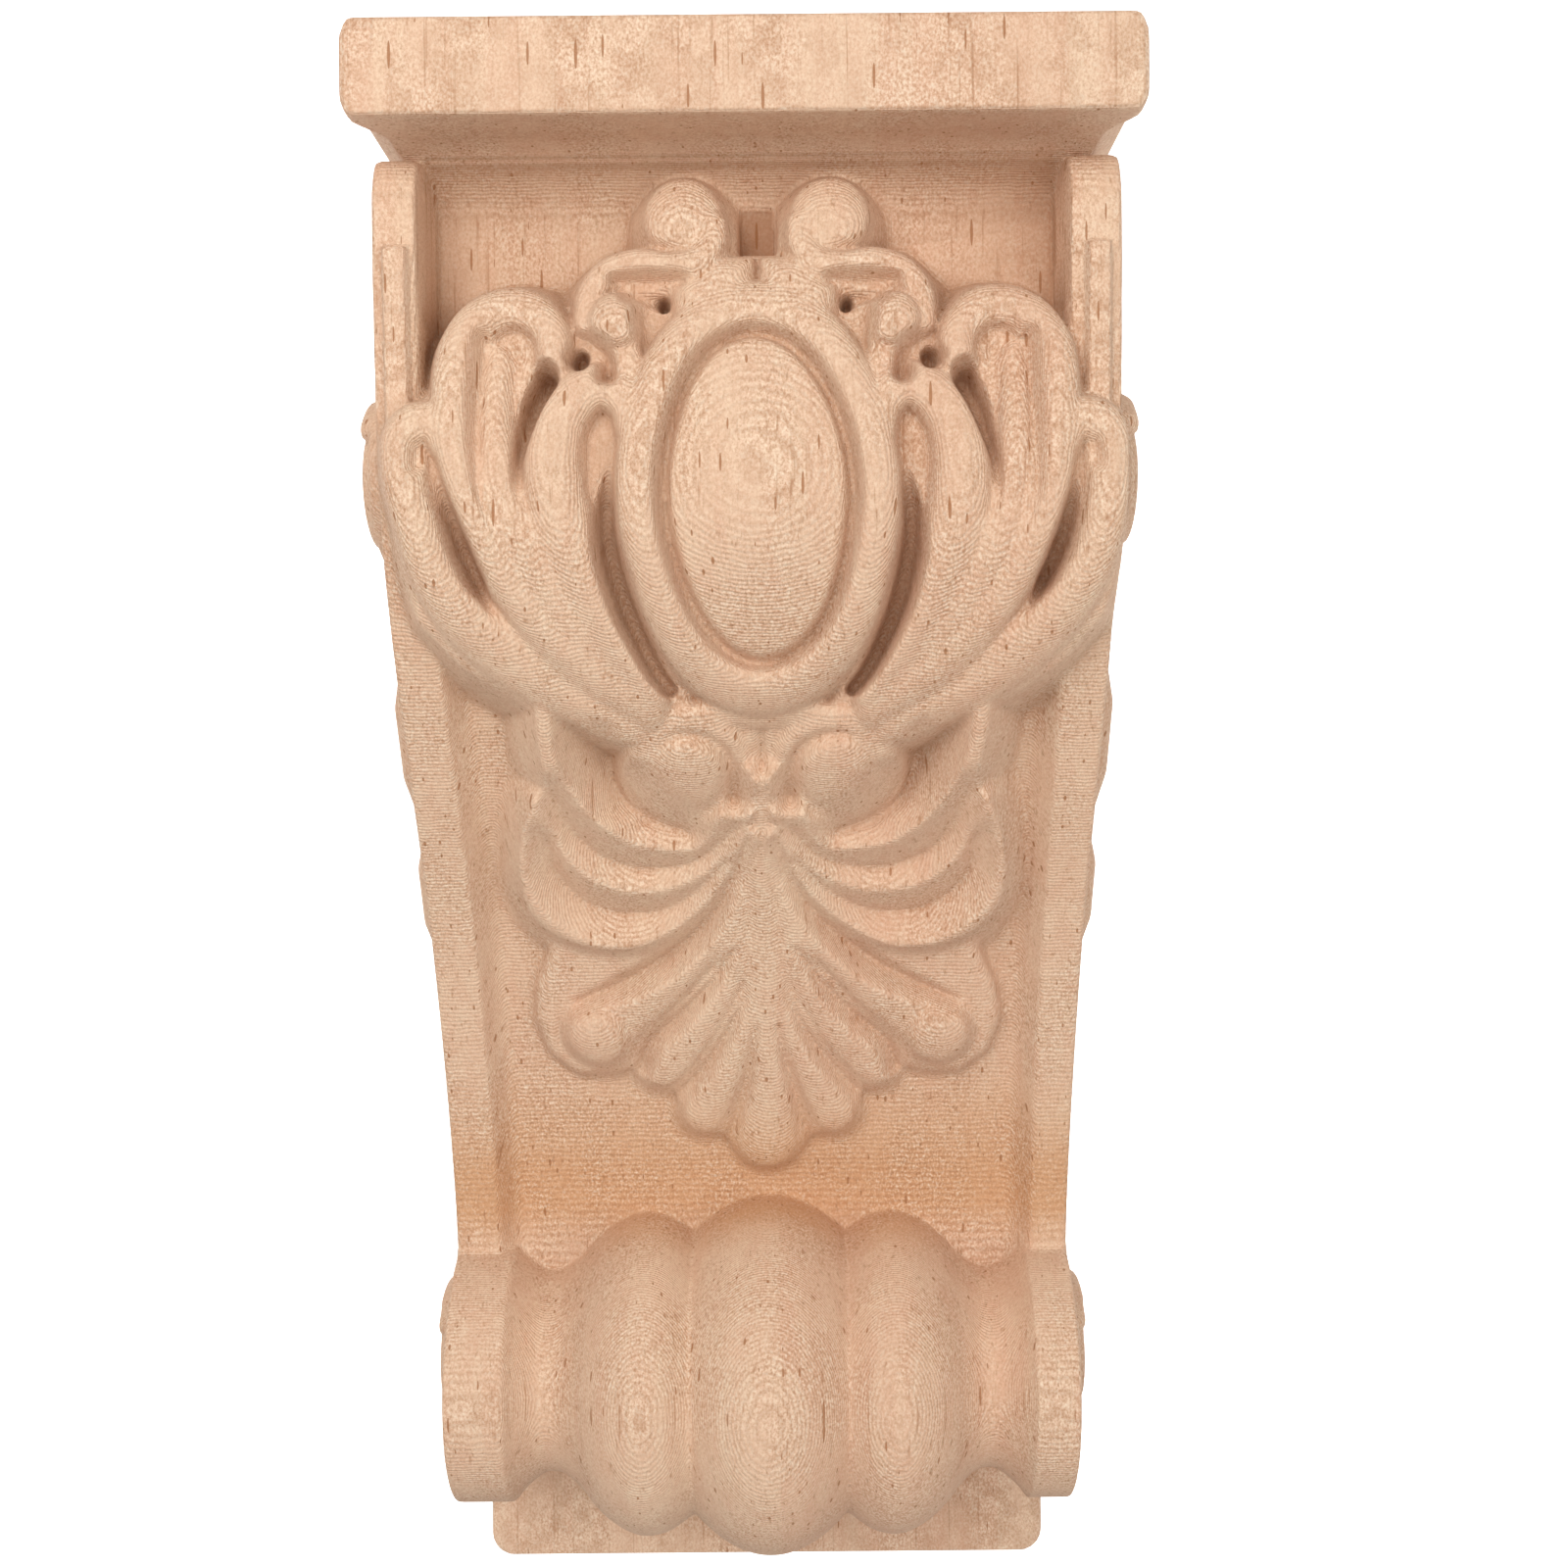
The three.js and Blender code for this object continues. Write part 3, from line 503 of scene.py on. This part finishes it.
def front_depth(xs, zs):
    """Depth of the front surface over the whole width, carving included."""
    board = front_board()
    x = xs[:, None]
    z = zs[None, :]
    wander = 0.22 * np.sin(0.11 * z + 0.7) + 0.12 * np.sin(0.31 * z + 0.09 * x)
    u = np.abs(x - CARVING_OFFSET + wander)
    ground = ground_depth(z)
    slope = 1.3 + 9 * panel_fall(z)
    offset = PANEL_OFFSET + PANEL_OFFSET_DRIFT * curve_position(z)
    walls = wall_depth(z) - slope * np.maximum(PANEL_HALF - np.abs(x - offset), 0)
    surface = smooth_max(ground + 0 * x, walls, PANEL_FILLET)
    tab_low = shoulder - TAB_HEIGHT
    on_tab = (np.abs(x) > TAB_INNER) & (np.abs(x) < TAB_OUTER) & (z > tab_low) & (z < shoulder)
    surface = np.where(on_tab, wall_depth(z) + TAB_PROUD, surface)
    raised = read_board(board, board.height, u, z + 0 * x, 0)
    surface = np.where(raised > 0.05, smooth_max(surface, ground + raised, 0.8), surface)
    ceiling = read_board(board, board.ceiling, u, z + 0 * x, FAR)
    surface = smooth_min(surface, ground + ceiling, 0.6)
    slot_rows = (z > neck_top - SLOT_BELOW) & (z < neck_top + SLOT_ABOVE)
    in_slot = (np.abs(x - CARVING_OFFSET) < SLOT_HALF) & slot_rows
    return np.where(in_slot, np.minimum(surface, NECK_DEPTH - SLOT_SINK), surface)


def side_board():
    """The carving of a side face: a sunk field, an S band, a stem, leaf lobes and two volutes."""
    board = Board((0, 92), (-100, 90), np.ones_like)
    d = board.us[:, None]
    z = board.zs[None, :]
    front = wall_depth(z)
    inset = np.minimum(front - BAND_WIDTH - d, d - PLATE_THICKNESS - BACK_STRIP)
    inset = np.minimum(inset, np.minimum(z - foot - BAND_WIDTH, neck_top - BAND_WIDTH - z))
    board.height = -FIELD_SINK * smooth_step(inset, -0.6, 1.2)
    from_bead = np.abs(front - BEAD_SET_BACK - d)
    in_reach = (z > foot) & (z < UPPER_VOLUTE[1])
    bead = BEAD_DEPTH * np.exp(-(from_bead / BEAD_WIDTH) ** 2)
    board.height = np.where(in_reach, board.height - bead, board.height)

    def follow(heights, behind):
        return [(float(wall_depth(np.array(h))) - behind, h) for h in heights]

    stem = follow(np.linspace(UPPER_VOLUTE[1], foot, 9), STEM_BEHIND_FRONT)
    board.ridge(stem, [1.8, 1.8], 0.5, crown=0.9)
    for high, low, half, lift in SIDE_LEAVES:
        leaf = follow(np.linspace(high, low, 6), LEAVES_BEHIND_FRONT)
        board.ridge(leaf, [half * 0.3, half * 0.8, half, half * 0.8], [0.2, lift, lift, 0.4],
                    crown=0.35, draft=1.6)
    for place, radius, proud in ((UPPER_VOLUTE, UPPER_VOLUTE_RADIUS, UPPER_VOLUTE_PROUD),
                                 (LOWER_VOLUTE, LOWER_VOLUTE_RADIUS, LOWER_VOLUTE_PROUD)):
        board.boss(place, (radius, radius), proud * 0.72, crown=0.8, draft=3)
        board.ridge(arc(place, 0.2, 2.9, radius - 1.6, radius * 0.5, 20), [1.4, 1.2], proud, crown=0.6)
        board.boss(place, (radius * 0.4, radius * 0.4), proud * 1.02, crown=1.6)
    return board


side_lobe_radius = smooth_table(SIDE_LOBE_CURVE)


def roll_radius(xs):
    """Radius of the gadrooned roll across the corbel."""
    distance = np.abs(xs - CARVING_OFFSET)
    fall = (MIDDLE_LOBE_RADIUS - LOBE_VALLEY_RADIUS) * (distance / MIDDLE_LOBE_HALF) ** 2
    return np.where(distance < MIDDLE_LOBE_HALF, MIDDLE_LOBE_RADIUS - fall, side_lobe_radius(distance))


def rounded_box(offsets, radius):
    """A box's field from how far outside each pair of its faces a point is."""
    outside = [np.maximum(offset + radius, 0) for offset in offsets]
    inside = offsets[0]
    for offset in offsets[1:]:
        inside = np.maximum(inside, offset)
    return np.sqrt(sum(part ** 2 for part in outside)) + np.minimum(inside + radius, 0) - radius


def corbel_field(xs, ds, zs):
    """How far each point of the grid is outside the corbel, negative inside it."""
    front = front_depth(xs, zs)
    board = side_board()
    side_ds, side_zs = np.meshgrid(ds, zs, indexing="ij")
    side = HALF_BODY + read_board(board, board.height, side_ds, side_zs, 0)
    front_slope = np.sqrt(1 + sum(part ** 2 for part in np.gradient(front, GRID_STEP)))
    side_slope = np.sqrt(1 + sum(part ** 2 for part in np.gradient(side, GRID_STEP)))
    radius = roll_radius(xs)
    roll_slope = np.sqrt(1 + np.gradient(radius, GRID_STEP) ** 2)
    field = np.empty((len(xs), len(ds), len(zs)), np.float32)
    x = xs[:, None, None]
    d = ds[None, :, None]
    across = np.abs(x)
    for first in range(0, len(zs), ROWS_AT_ONCE):
        rows = slice(first, first + ROWS_AT_ONCE)
        z = zs[None, None, rows]
        body = smooth_max((d - front[:, None, rows]) / front_slope[:, None, rows],
                          (across - side[None, :, rows]) / side_slope[None, :, rows], EDGE)
        body = smooth_max(body, z - shoulder_top, SHOULDER_TOP_ROUND)
        body = np.maximum(body, np.maximum(roll_height - z, -d))
        cove = cove_field(x, d, z)
        cap = cap_field(across, d, z)
        plate = rounded_box([across - HALF_BODY, -top - z, z - cap_bottom], PLATE_CORNER)
        plate = rounded_box([plate, np.abs(d - PLATE_THICKNESS / 2) - PLATE_THICKNESS / 2], EDGE)
        around = np.hypot(np.maximum(d - ROLL_DEPTH, 0), z - roll_height) - radius[:, None, None]
        roll = smooth_max(around / roll_slope[:, None, None], across - side[None, :, rows], EDGE)
        roll = np.maximum(roll, -d)
        whole = smooth_min(smooth_min(body, roll, JOIN), np.minimum(cap, cove), JOIN)
        field[:, :, rows] = np.minimum(whole, plate)
    return field


def cap_field(across, d, z):
    """The cap, its side edges worn round and its underside sloped up behind the front corners."""
    middle = (top + cap_bottom) / 2
    worn = np.maximum(np.abs(z - middle) / (CAP_HEIGHT / 2) - CAP_WEAR_START, 0) / (1 - CAP_WEAR_START)
    slope = smooth_step(cap_bottom + CAP_SIDE_CUT_RISE - z, 0, CAP_SIDE_CUT_RISE)
    fade = smooth_step(cap_depth - d, 0, CAP_SIDE_CUT_FADE)
    inset = np.maximum(CAP_WEAR * worn ** 2, CAP_SIDE_CUT * slope * fade)
    plan = rounded_box([across - HALF_CAP + inset, d - cap_depth], CAP_CORNER)
    return rounded_box([plan, -d, np.abs(z - middle) - CAP_HEIGHT / 2], EDGE * 0.6)


def cove_field(x, d, z):
    """The neck and the cove above it, mitred at the corners."""
    outward = np.maximum(d - NECK_DEPTH, (np.abs(x) - NECK_HALF) / COVE_SIDE_SHARE)
    forward = np.minimum(outward, COVE_REACH) / COVE_REACH - 1
    hollow = np.hypot(forward, np.maximum(z - neck_top, 0) / COVE_DROP)
    cove = np.maximum(outward - COVE_REACH, (1 - hollow) * COVE_DROP)
    below = neck_top - NECK_REACH_DOWN - z
    return np.maximum(np.maximum(cove, z - cap_bottom - 1), np.maximum(below, -d))


def carved_mesh(name):
    """The corbel as one closed mesh in metres."""
    step = GRID_STEP
    xs = np.arange(-GRID_HALF, GRID_HALF + step, step)
    ds = np.arange(-GRID_MARGIN, cap_depth + GRID_MARGIN, step)
    zs = np.arange(-top - GRID_MARGIN, top + GRID_MARGIN, step)
    field = corbel_field(xs, ds, zs)
    grid = openvdb.FloatGrid(float(field.max()))
    grid.copyFromArray(field)
    points, triangles, quads = grid.convertToPolygons(0.0, 0.0)
    corner = np.array([xs[0], ds[0], zs[0]])
    places = corner + points * step
    places[:, 1] *= -1
    faces = np.vstack([quads[:, [0, 1, 2]], quads[:, [0, 2, 3]], triangles]).astype(np.int64)
    a, b, c = (places[faces[:, i]] for i in range(3))
    if np.einsum("ij,ij->i", a, np.cross(b, c)).sum() < 0:
        faces = faces[:, ::-1]
    mesh = bpy.data.meshes.new(name)
    mesh.from_pydata((places * MM).tolist(), [], faces.tolist())
    mesh.update()
    return mesh


def decimated(piece, triangles):
    """The same piece with fewer triangles, kept where the surface bends."""
    shrink = piece.modifiers.new("fewer", "DECIMATE")
    shrink.ratio = min(1.0, triangles / len(piece.data.polygons))
    shrink.use_collapse_triangulate = True
    graph = bpy.context.evaluated_depsgraph_get()
    mesh = bpy.data.meshes.new_from_object(piece.evaluated_get(graph))
    piece.modifiers.clear()
    piece.data = mesh
    return piece


def blurred(values, reach):
    """Values averaged over a square, twice over."""
    width = 2 * int(reach / GRID_STEP) + 1
    kernel = np.ones(width) / width

    def averaged(row):
        return np.convolve(np.pad(row, width // 2, "edge"), kernel, "valid")

    for axis in (0, 1):
        for _ in range(2):
            values = np.apply_along_axis(averaged, axis, values)
    return values


def add_painted_groove_shade(piece):
    """Stores how deep each vertex lies in a groove, for the painted shade there."""
    xs = np.arange(-44, 44, GRID_STEP)
    zs = np.arange(-60, 88, GRID_STEP)
    front = front_depth(xs, zs)
    fine = np.clip((blurred(front, 1.6) - front - 0.4) / 3.0, 0, 1)
    broad = np.clip((blurred(front, 4.0) - front - 0.8) / 8.0, 0, 1)
    hollow = np.clip(0.7 * fine + 0.7 * broad, 0, 1)
    places = np.empty(len(piece.data.vertices) * 3)
    piece.data.vertices.foreach_get("co", places)
    x, y, z = places.reshape(-1, 3).T / MM
    i = np.clip(((x - xs[0]) / GRID_STEP).round().astype(int), 0, len(xs) - 1)
    j = np.clip(((z - zs[0]) / GRID_STEP).round().astype(int), 0, len(zs) - 1)
    below = np.abs(-y - front[i, j]) < 4
    values = np.where(below, hollow[i, j], 0)
    attribute = piece.data.attributes.new("hollow", "FLOAT", "POINT")
    attribute.data.foreach_set("value", values.astype(np.float32))


class Graph:
    """Adds and links shader nodes with few words."""

    def __init__(self, material):
        material.use_nodes = True
        self.tree = material.node_tree
        self.tree.nodes.clear()

    def add(self, kind, inputs=(), **settings):
        node = self.tree.nodes.new("ShaderNode" + kind)
        for name, value in settings.items():
            setattr(node, name, value)
        for name, value in dict(inputs).items():
            socket = node.inputs[name]
            if isinstance(value, bpy.types.NodeSocket):
                self.tree.links.new(value, socket)
            else:
                socket.default_value = value
        return node

    def math(self, operation, first, second=0.0, third=0.0):
        return self.add("Math", {0: first, 1: second, 2: third}, operation=operation).outputs[0]

    def remap(self, value, low, high, to_low=0.0, to_high=1.0):
        inputs = {"Value": value, "From Min": low, "From Max": high, "To Min": to_low, "To Max": to_high}
        return self.add("MapRange", inputs).outputs[0]

    def mix(self, share, first, second, blend="MIX"):
        node = self.add("Mix", {0: share, 6: first, 7: second}, data_type="RGBA", blend_type=blend)
        return node.outputs[2]

    def stretched(self, place, scale):
        return self.add("Mapping", {"Vector": place, "Scale": scale}).outputs[0]

    def noise(self, place, scale, detail=3.0, roughness=0.55):
        inputs = {"Vector": place, "Scale": scale, "Detail": detail, "Roughness": roughness}
        return self.add("TexNoise", inputs).outputs[0]

    def steps(self, value, low, high, stops):
        """A ramp in steps: each stop is a position and the grey from there on."""
        node = self.add("ValToRGB", {0: self.remap(value, low, high)})
        ramp = node.color_ramp
        ramp.interpolation = "CONSTANT"
        ramp.elements[0].color = (stops[0][1],) * 3 + (1,)
        ramp.elements.remove(ramp.elements[1])
        for position, grey in stops[1:]:
            ramp.elements.new((position - low) / (high - low)).color = (grey,) * 3 + (1,)
        return node.outputs[0]


PALE = (0.82, 0.575, 0.395, 1)
PINK = (0.74, 0.44, 0.29, 1)
# Warm brown for the painted shade on the lower panel
LOW_PANEL_SHADE_BROWN = (0.66, 0.33, 0.15, 1)
STREAK = (0.40, 0.17, 0.07, 1)
# Deep brown for the painted shade in grooves and recesses
GROOVE_SHADE_BROWN = (0.32, 0.135, 0.055, 1)
FUZZ = (0.95, 0.80, 0.62, 1)


def glued_strips(graph, x, depth):
    """The tone of each strip of the glued-up blank, in three layers from the front to the back."""
    front, middle, back = (graph.steps(x, -STRIP_SPAN, STRIP_SPAN, strips)
                           for strips in (FRONT_STRIPS, MIDDLE_STRIPS, BACK_STRIPS))
    rear_two = graph.mix(graph.math("GREATER_THAN", depth, MIDDLE_LAYER_START), back, middle)
    return graph.mix(graph.math("GREATER_THAN", depth, FRONT_LAYER_START), rear_two, front)


def wood_material():
    material = bpy.data.materials.new("raw_wood")
    graph = Graph(material)
    place_m = graph.add("TexCoord").outputs["Object"]
    place = graph.add("VectorMath", {0: place_m, "Scale": 1 / MM}, operation="SCALE").outputs[0]
    split = graph.add("SeparateXYZ", {0: place})
    x = split.outputs[0]
    depth = graph.math("MULTIPLY", split.outputs[1], -1.0)
    height_up = split.outputs[2]
    hollow = graph.add("Attribute", attribute_name="hollow", attribute_type="GEOMETRY").outputs["Fac"]

    strips = glued_strips(graph, x, depth)
    grain = graph.noise(graph.stretched(place, (0.55, 0.55, 0.03)), 1.0, 4.0)
    cloud = graph.noise(graph.stretched(place, (0.05, 0.05, 0.02)), 1.0, 2.0)
    tone = graph.math("ADD", graph.math("MULTIPLY", strips, 0.4), graph.math("MULTIPLY", cloud, 0.5))
    tone = graph.math("ADD", tone, graph.remap(grain, 0.3, 0.7, -0.25, 0.25))
    colour = graph.mix(graph.remap(tone, 0.1, 0.95), PALE, PINK)

    # Painted shade: the lower panel behind the palmette tip and above the roll is mixed towards a warm
    # brown, strongest at heights -36 to -41 mm and only behind 43 mm depth, standing in for the shade and
    # warm bounce light there.
    low_panel_shade = graph.math("MULTIPLY", graph.remap(height_up, -18, -36), graph.remap(height_up, -47, -41))
    low_panel_shade = graph.math("MULTIPLY", low_panel_shade, graph.remap(depth, 43, 37, 0.0, 0.75))
    colour = graph.mix(low_panel_shade, colour, LOW_PANEL_SHADE_BROWN)

    fuzz_field = graph.noise(graph.stretched(place, (3.4, 3.4, 2.4)), 1.0, 3.0, 0.7)
    patches = graph.noise(graph.stretched(place, (0.12, 0.12, 0.06)), 1.0, 2.0)
    fuzz_patch = graph.remap(patches, 0.42, 0.6, 0.45, 1)
    light_fuzz = graph.math("MULTIPLY", graph.remap(fuzz_field, 0.5, 0.66, 0.0, 0.7), fuzz_patch)
    dark_fuzz = graph.math("MULTIPLY", graph.remap(fuzz_field, 0.5, 0.34, 0.0, 0.55), fuzz_patch)
    colour = graph.mix(light_fuzz, colour, FUZZ)
    colour = graph.mix(dark_fuzz, colour, STREAK)

    wobble = graph.noise(graph.stretched(place, (0.35, 0.35, 0.35)), 1.0, 3.0)
    lines_at = graph.math("ADD", depth, graph.math("MULTIPLY", wobble, 0.35))
    lines = graph.math("SINE", graph.math("MULTIPLY", lines_at, 2 * math.pi / CUTTER_LINE_PITCH))
    line_shade = graph.math("MULTIPLY", graph.remap(lines, -0.2, 1.0, 0.0, 0.3), fuzz_patch)
    colour = graph.mix(line_shade, colour, STREAK)

    vessel_place = graph.stretched(place, (1.0, 1.0, 0.11))
    vessel = graph.add("TexVoronoi", {"Vector": vessel_place, "Scale": 1.0, "Randomness": 1.0})
    chosen = graph.add("SeparateColor", {0: vessel.outputs["Color"]}).outputs[0]
    thin = graph.remap(chosen, 0.3, 1.0, 0.0, 0.19)
    pore = graph.math("LESS_THAN", vessel.outputs["Distance"], thin)
    streak_field = graph.noise(graph.stretched(place, (1.7, 1.7, 0.05)), 1.0, 2.0)
    streak = graph.remap(streak_field, 0.62, 0.76, 0.0, 0.6)
    colour = graph.mix(graph.math("MAXIMUM", graph.math("MULTIPLY", pore, 0.85), streak), colour, STREAK)
    # Painted shade: grooves and recesses are mixed towards a deep brown by the stored groove depth, standing
    # in for the shade that falls there.
    colour = graph.mix(graph.math("MULTIPLY", graph.math("POWER", hollow, 0.8), 0.6), colour, GROOVE_SHADE_BROWN)

    grit = graph.noise(place, 3.2, 3.0, 0.75)
    rough = graph.math("ADD", graph.math("MULTIPLY", lines, 0.4), graph.math("MULTIPLY", grit, 2.4))
    rough = graph.math("SUBTRACT", rough, graph.math("MULTIPLY", pore, 1.2))
    bump = graph.add("Bump", {"Strength": 0.7, "Distance": 0.14 * MM, "Height": rough}).outputs[0]

    shader = graph.add("BsdfPrincipled", {"Base Color": colour, "Roughness": 0.78, "Normal": bump})
    shader.inputs["Specular IOR Level"].default_value = 0.25
    graph.add("OutputMaterial", {0: shader.outputs[0]})
    return material


def stage_material():
    material = bpy.data.materials.new("pale_stage")
    graph = Graph(material)
    shader = graph.add("BsdfPrincipled", {"Base Color": (0.9, 0.9, 0.9, 1), "Roughness": 0.9})
    shader.inputs["Emission Color"].default_value = (1, 1, 1, 1)
    shader.inputs["Emission Strength"].default_value = STAGE_GLOW
    graph.add("OutputMaterial", {0: shader.outputs[0]})
    return material


def add_stage():
    """A pale floor behind the corbel that curves up into a backdrop, in metres."""
    near, bend, radius, backdrop_top = 0.05, 0.6, 0.5, 2.5
    half = 2.5
    floor_height = -0.14
    angles = np.linspace(0.1, math.pi / 2, 12)
    curve = [(bend + radius * math.sin(a), radius - radius * math.cos(a)) for a in angles]
    profile = [(near, 0.0), (bend, 0.0), *curve, (bend + radius, backdrop_top)]
    points = [(x, y, z + floor_height) for y, z in profile for x in (-half, half)]
    faces = [(2 * i, 2 * i + 1, 2 * i + 3, 2 * i + 2) for i in range(len(profile) - 1)]
    mesh = bpy.data.meshes.new("stage")
    mesh.from_pydata(points, [], faces)
    mesh.shade_smooth()
    mesh.materials.append(stage_material())
    stage = bpy.data.objects.new("stage", mesh)
    bpy.context.collection.objects.link(stage)


def add_light(name, place, aim, size, power):
    """A square soft light at a place, turned towards a point, in metres and watts."""
    data = bpy.data.lights.new(name, "AREA")
    data.size = size
    data.energy = power
    light = bpy.data.objects.new(name, data)
    bpy.context.collection.objects.link(light)
    direction = Vector(aim) - Vector(place)
    light.location = place
    light.rotation_euler = direction.to_track_quat("-Z", "Y").to_euler()


def add_studio():
    add_light("key", *KEY_LIGHT)
    add_light("fill", *FILL_LIGHT)
    world = bpy.data.worlds.new("studio")
    world.use_nodes = True
    world.node_tree.nodes["Background"].inputs[0].default_value = (1, 1, 1, 1)
    world.node_tree.nodes["Background"].inputs[1].default_value = WORLD_LIGHT
    bpy.context.scene.world = world
    bpy.context.scene.view_settings.view_transform = "Standard"


def add_camera():
    data = bpy.data.cameras.new("camera")
    data.lens = CAMERA_LENS
    data.sensor_width = SENSOR_WIDTH
    camera = bpy.data.objects.new("camera", data)
    bpy.context.collection.objects.link(camera)
    place = Matrix.Translation([value * MM for value in CAMERA_PLACE])
    camera.matrix_world = place @ Matrix.Rotation(math.pi / 2, 4, "X") @ Matrix.Rotation(CAMERA_ROLL, 4, "Z")
    bpy.context.scene.camera = camera


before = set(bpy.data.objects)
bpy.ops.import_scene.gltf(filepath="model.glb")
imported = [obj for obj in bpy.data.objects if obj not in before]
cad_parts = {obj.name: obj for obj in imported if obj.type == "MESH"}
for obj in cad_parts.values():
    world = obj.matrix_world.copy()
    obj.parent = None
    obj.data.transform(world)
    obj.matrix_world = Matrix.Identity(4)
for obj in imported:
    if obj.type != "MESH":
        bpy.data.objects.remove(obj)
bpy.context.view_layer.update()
low_m, high_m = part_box("corbel")
height = (high_m[2] - low_m[2]) / MM
cap_depth = -low_m[1] / MM
top = height / 2
cap_bottom = top - CAP_HEIGHT
neck_top = cap_bottom - COVE_DROP
shoulder_top = cap_bottom - SHOULDER_TOP_GAP
shoulder = top - SHOULDER_DROP
foot = -top + FOOT_RISE
roll_height = -top + ROLL_RISE

add_camera()
corbel = bpy.data.objects.new("carved_corbel", carved_mesh("carved_corbel"))
bpy.context.collection.objects.link(corbel)
decimated(corbel, TRIANGLES)
corbel.data.shade_smooth()
add_painted_groove_shade(corbel)
corbel.data.materials.append(wood_material())
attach(corbel, "root")
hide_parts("corbel")
add_stage()
add_studio()
